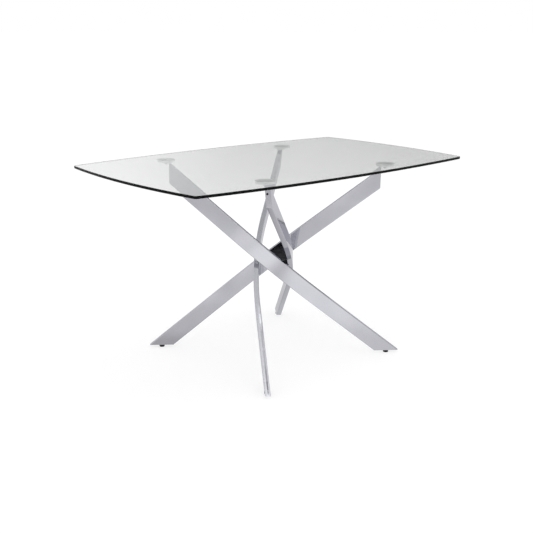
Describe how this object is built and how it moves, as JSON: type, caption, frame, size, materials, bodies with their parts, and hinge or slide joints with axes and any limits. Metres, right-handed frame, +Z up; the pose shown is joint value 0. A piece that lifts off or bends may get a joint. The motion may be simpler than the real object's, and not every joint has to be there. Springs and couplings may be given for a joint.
{
  "type": "dining table",
  "caption": "Dining table with a bowed rectangular clear glass top on a crossed base of bent chromed flat-tube legs, joined by a black hub plate and standing on screw levellers.",
  "frame": {"origin": "on the floor below the middle of the glass top", "axes": "+X along the length of the top, +Z up"},
  "size_m": [1.355, 0.832, 0.76],
  "materials": {
    "glass": "clear float glass, ground and polished edge",
    "tube_chrome": "polished chrome plate",
    "tab_chrome": "polished chrome plate",
    "disc_chrome": "polished, bonded to the glass",
    "zinc": "bright zinc plate",
    "hub_black": "black powder coat",
    "plug_black": "moulded",
    "pad_black": "moulded, fine grain"
  },
  "bodies": {
    "root": {"glass_top": "glass", "hub_plate": "hub_black", "leg_tube_front_left": "tube_chrome", "foot_plate_front_left": "tube_chrome", "top_end_plate_front_left": "tube_chrome", "end_plug_front_left": "plug_black", "top_tab_front_left": "tab_chrome", "disc_screw_front_left": "zinc", "glass_disc_front_left": "disc_chrome", "hub_bolt_1_front_left": "zinc", "hub_bolt_2_front_left": "zinc", "hub_insert_1_front_left": "zinc", "hub_insert_2_front_left": "zinc", "leg_tube_front_right": "tube_chrome", "foot_plate_front_right": "tube_chrome", "top_end_plate_front_right": "tube_chrome", "end_plug_front_right": "plug_black", "top_tab_front_right": "tab_chrome", "disc_screw_front_right": "zinc", "glass_disc_front_right": "disc_chrome", "hub_bolt_1_front_right": "zinc", "hub_bolt_2_front_right": "zinc", "hub_insert_1_front_right": "zinc", "hub_insert_2_front_right": "zinc", "leg_tube_back_left": "tube_chrome", "foot_plate_back_left": "tube_chrome", "top_end_plate_back_left": "tube_chrome", "end_plug_back_left": "plug_black", "top_tab_back_left": "tab_chrome", "disc_screw_back_left": "zinc", "glass_disc_back_left": "disc_chrome", "hub_bolt_1_back_left": "zinc", "hub_bolt_2_back_left": "zinc", "hub_insert_1_back_left": "zinc", "hub_insert_2_back_left": "zinc", "leg_tube_back_right": "tube_chrome", "foot_plate_back_right": "tube_chrome", "top_end_plate_back_right": "tube_chrome", "end_plug_back_right": "plug_black", "top_tab_back_right": "tab_chrome", "disc_screw_back_right": "zinc", "glass_disc_back_right": "disc_chrome", "hub_bolt_1_back_right": "zinc", "hub_bolt_2_back_right": "zinc", "hub_insert_1_back_right": "zinc", "hub_insert_2_back_right": "zinc"},
    "leveller_front_left": {"leveller_pad_front_left": "pad_black"},
    "screw_front_left": {"leveller_stud_front_left": "zinc"},
    "leveller_front_right": {"leveller_pad_front_right": "pad_black"},
    "screw_front_right": {"leveller_stud_front_right": "zinc"},
    "leveller_back_left": {"leveller_pad_back_left": "pad_black"},
    "screw_back_left": {"leveller_stud_back_left": "zinc"},
    "leveller_back_right": {"leveller_pad_back_right": "pad_black"},
    "screw_back_right": {"leveller_stud_back_right": "zinc"}
  },
  "joints": [
    {"name": "leveller_height_front_left", "type": "slide", "parent": "root", "child": "leveller_front_left", "axis": [0, 0, 1], "range_m": [-0.012, 0]},
    {"name": "leveller_screw_front_left", "type": "hinge", "parent": "leveller_front_left", "child": "screw_front_left", "pos_m": [-0.31042, -0.32515, 0.02], "axis": [0, 0, 1], "range_deg": [-3460, 0]},
    {"name": "leveller_height_front_right", "type": "slide", "parent": "root", "child": "leveller_front_right", "axis": [0, 0, 1], "range_m": [-0.012, 0]},
    {"name": "leveller_screw_front_right", "type": "hinge", "parent": "leveller_front_right", "child": "screw_front_right", "pos_m": [0.32515, -0.31042, 0.02], "axis": [0, 0, 1], "range_deg": [-3460, 0]},
    {"name": "leveller_height_back_left", "type": "slide", "parent": "root", "child": "leveller_back_left", "axis": [0, 0, 1], "range_m": [-0.012, 0]},
    {"name": "leveller_screw_back_left", "type": "hinge", "parent": "leveller_back_left", "child": "screw_back_left", "pos_m": [-0.32515, 0.31042, 0.02], "axis": [0, 0, 1], "range_deg": [-3460, 0]},
    {"name": "leveller_height_back_right", "type": "slide", "parent": "root", "child": "leveller_back_right", "axis": [0, 0, 1], "range_m": [-0.012, 0]},
    {"name": "leveller_screw_back_right", "type": "hinge", "parent": "leveller_back_right", "child": "screw_back_right", "pos_m": [0.31042, 0.32515, 0.02], "axis": [0, 0, 1], "range_deg": [-3460, 0]}
  ],
  "couplings": [
    {"joint": "leveller_screw_front_left", "follows": "leveller_height_front_left", "rad_per_m": 5026.5},
    {"joint": "leveller_screw_front_right", "follows": "leveller_height_front_right", "rad_per_m": 5026.5},
    {"joint": "leveller_screw_back_left", "follows": "leveller_height_back_left", "rad_per_m": 5026.5},
    {"joint": "leveller_screw_back_right", "follows": "leveller_height_back_right", "rad_per_m": 5026.5}
  ]
}
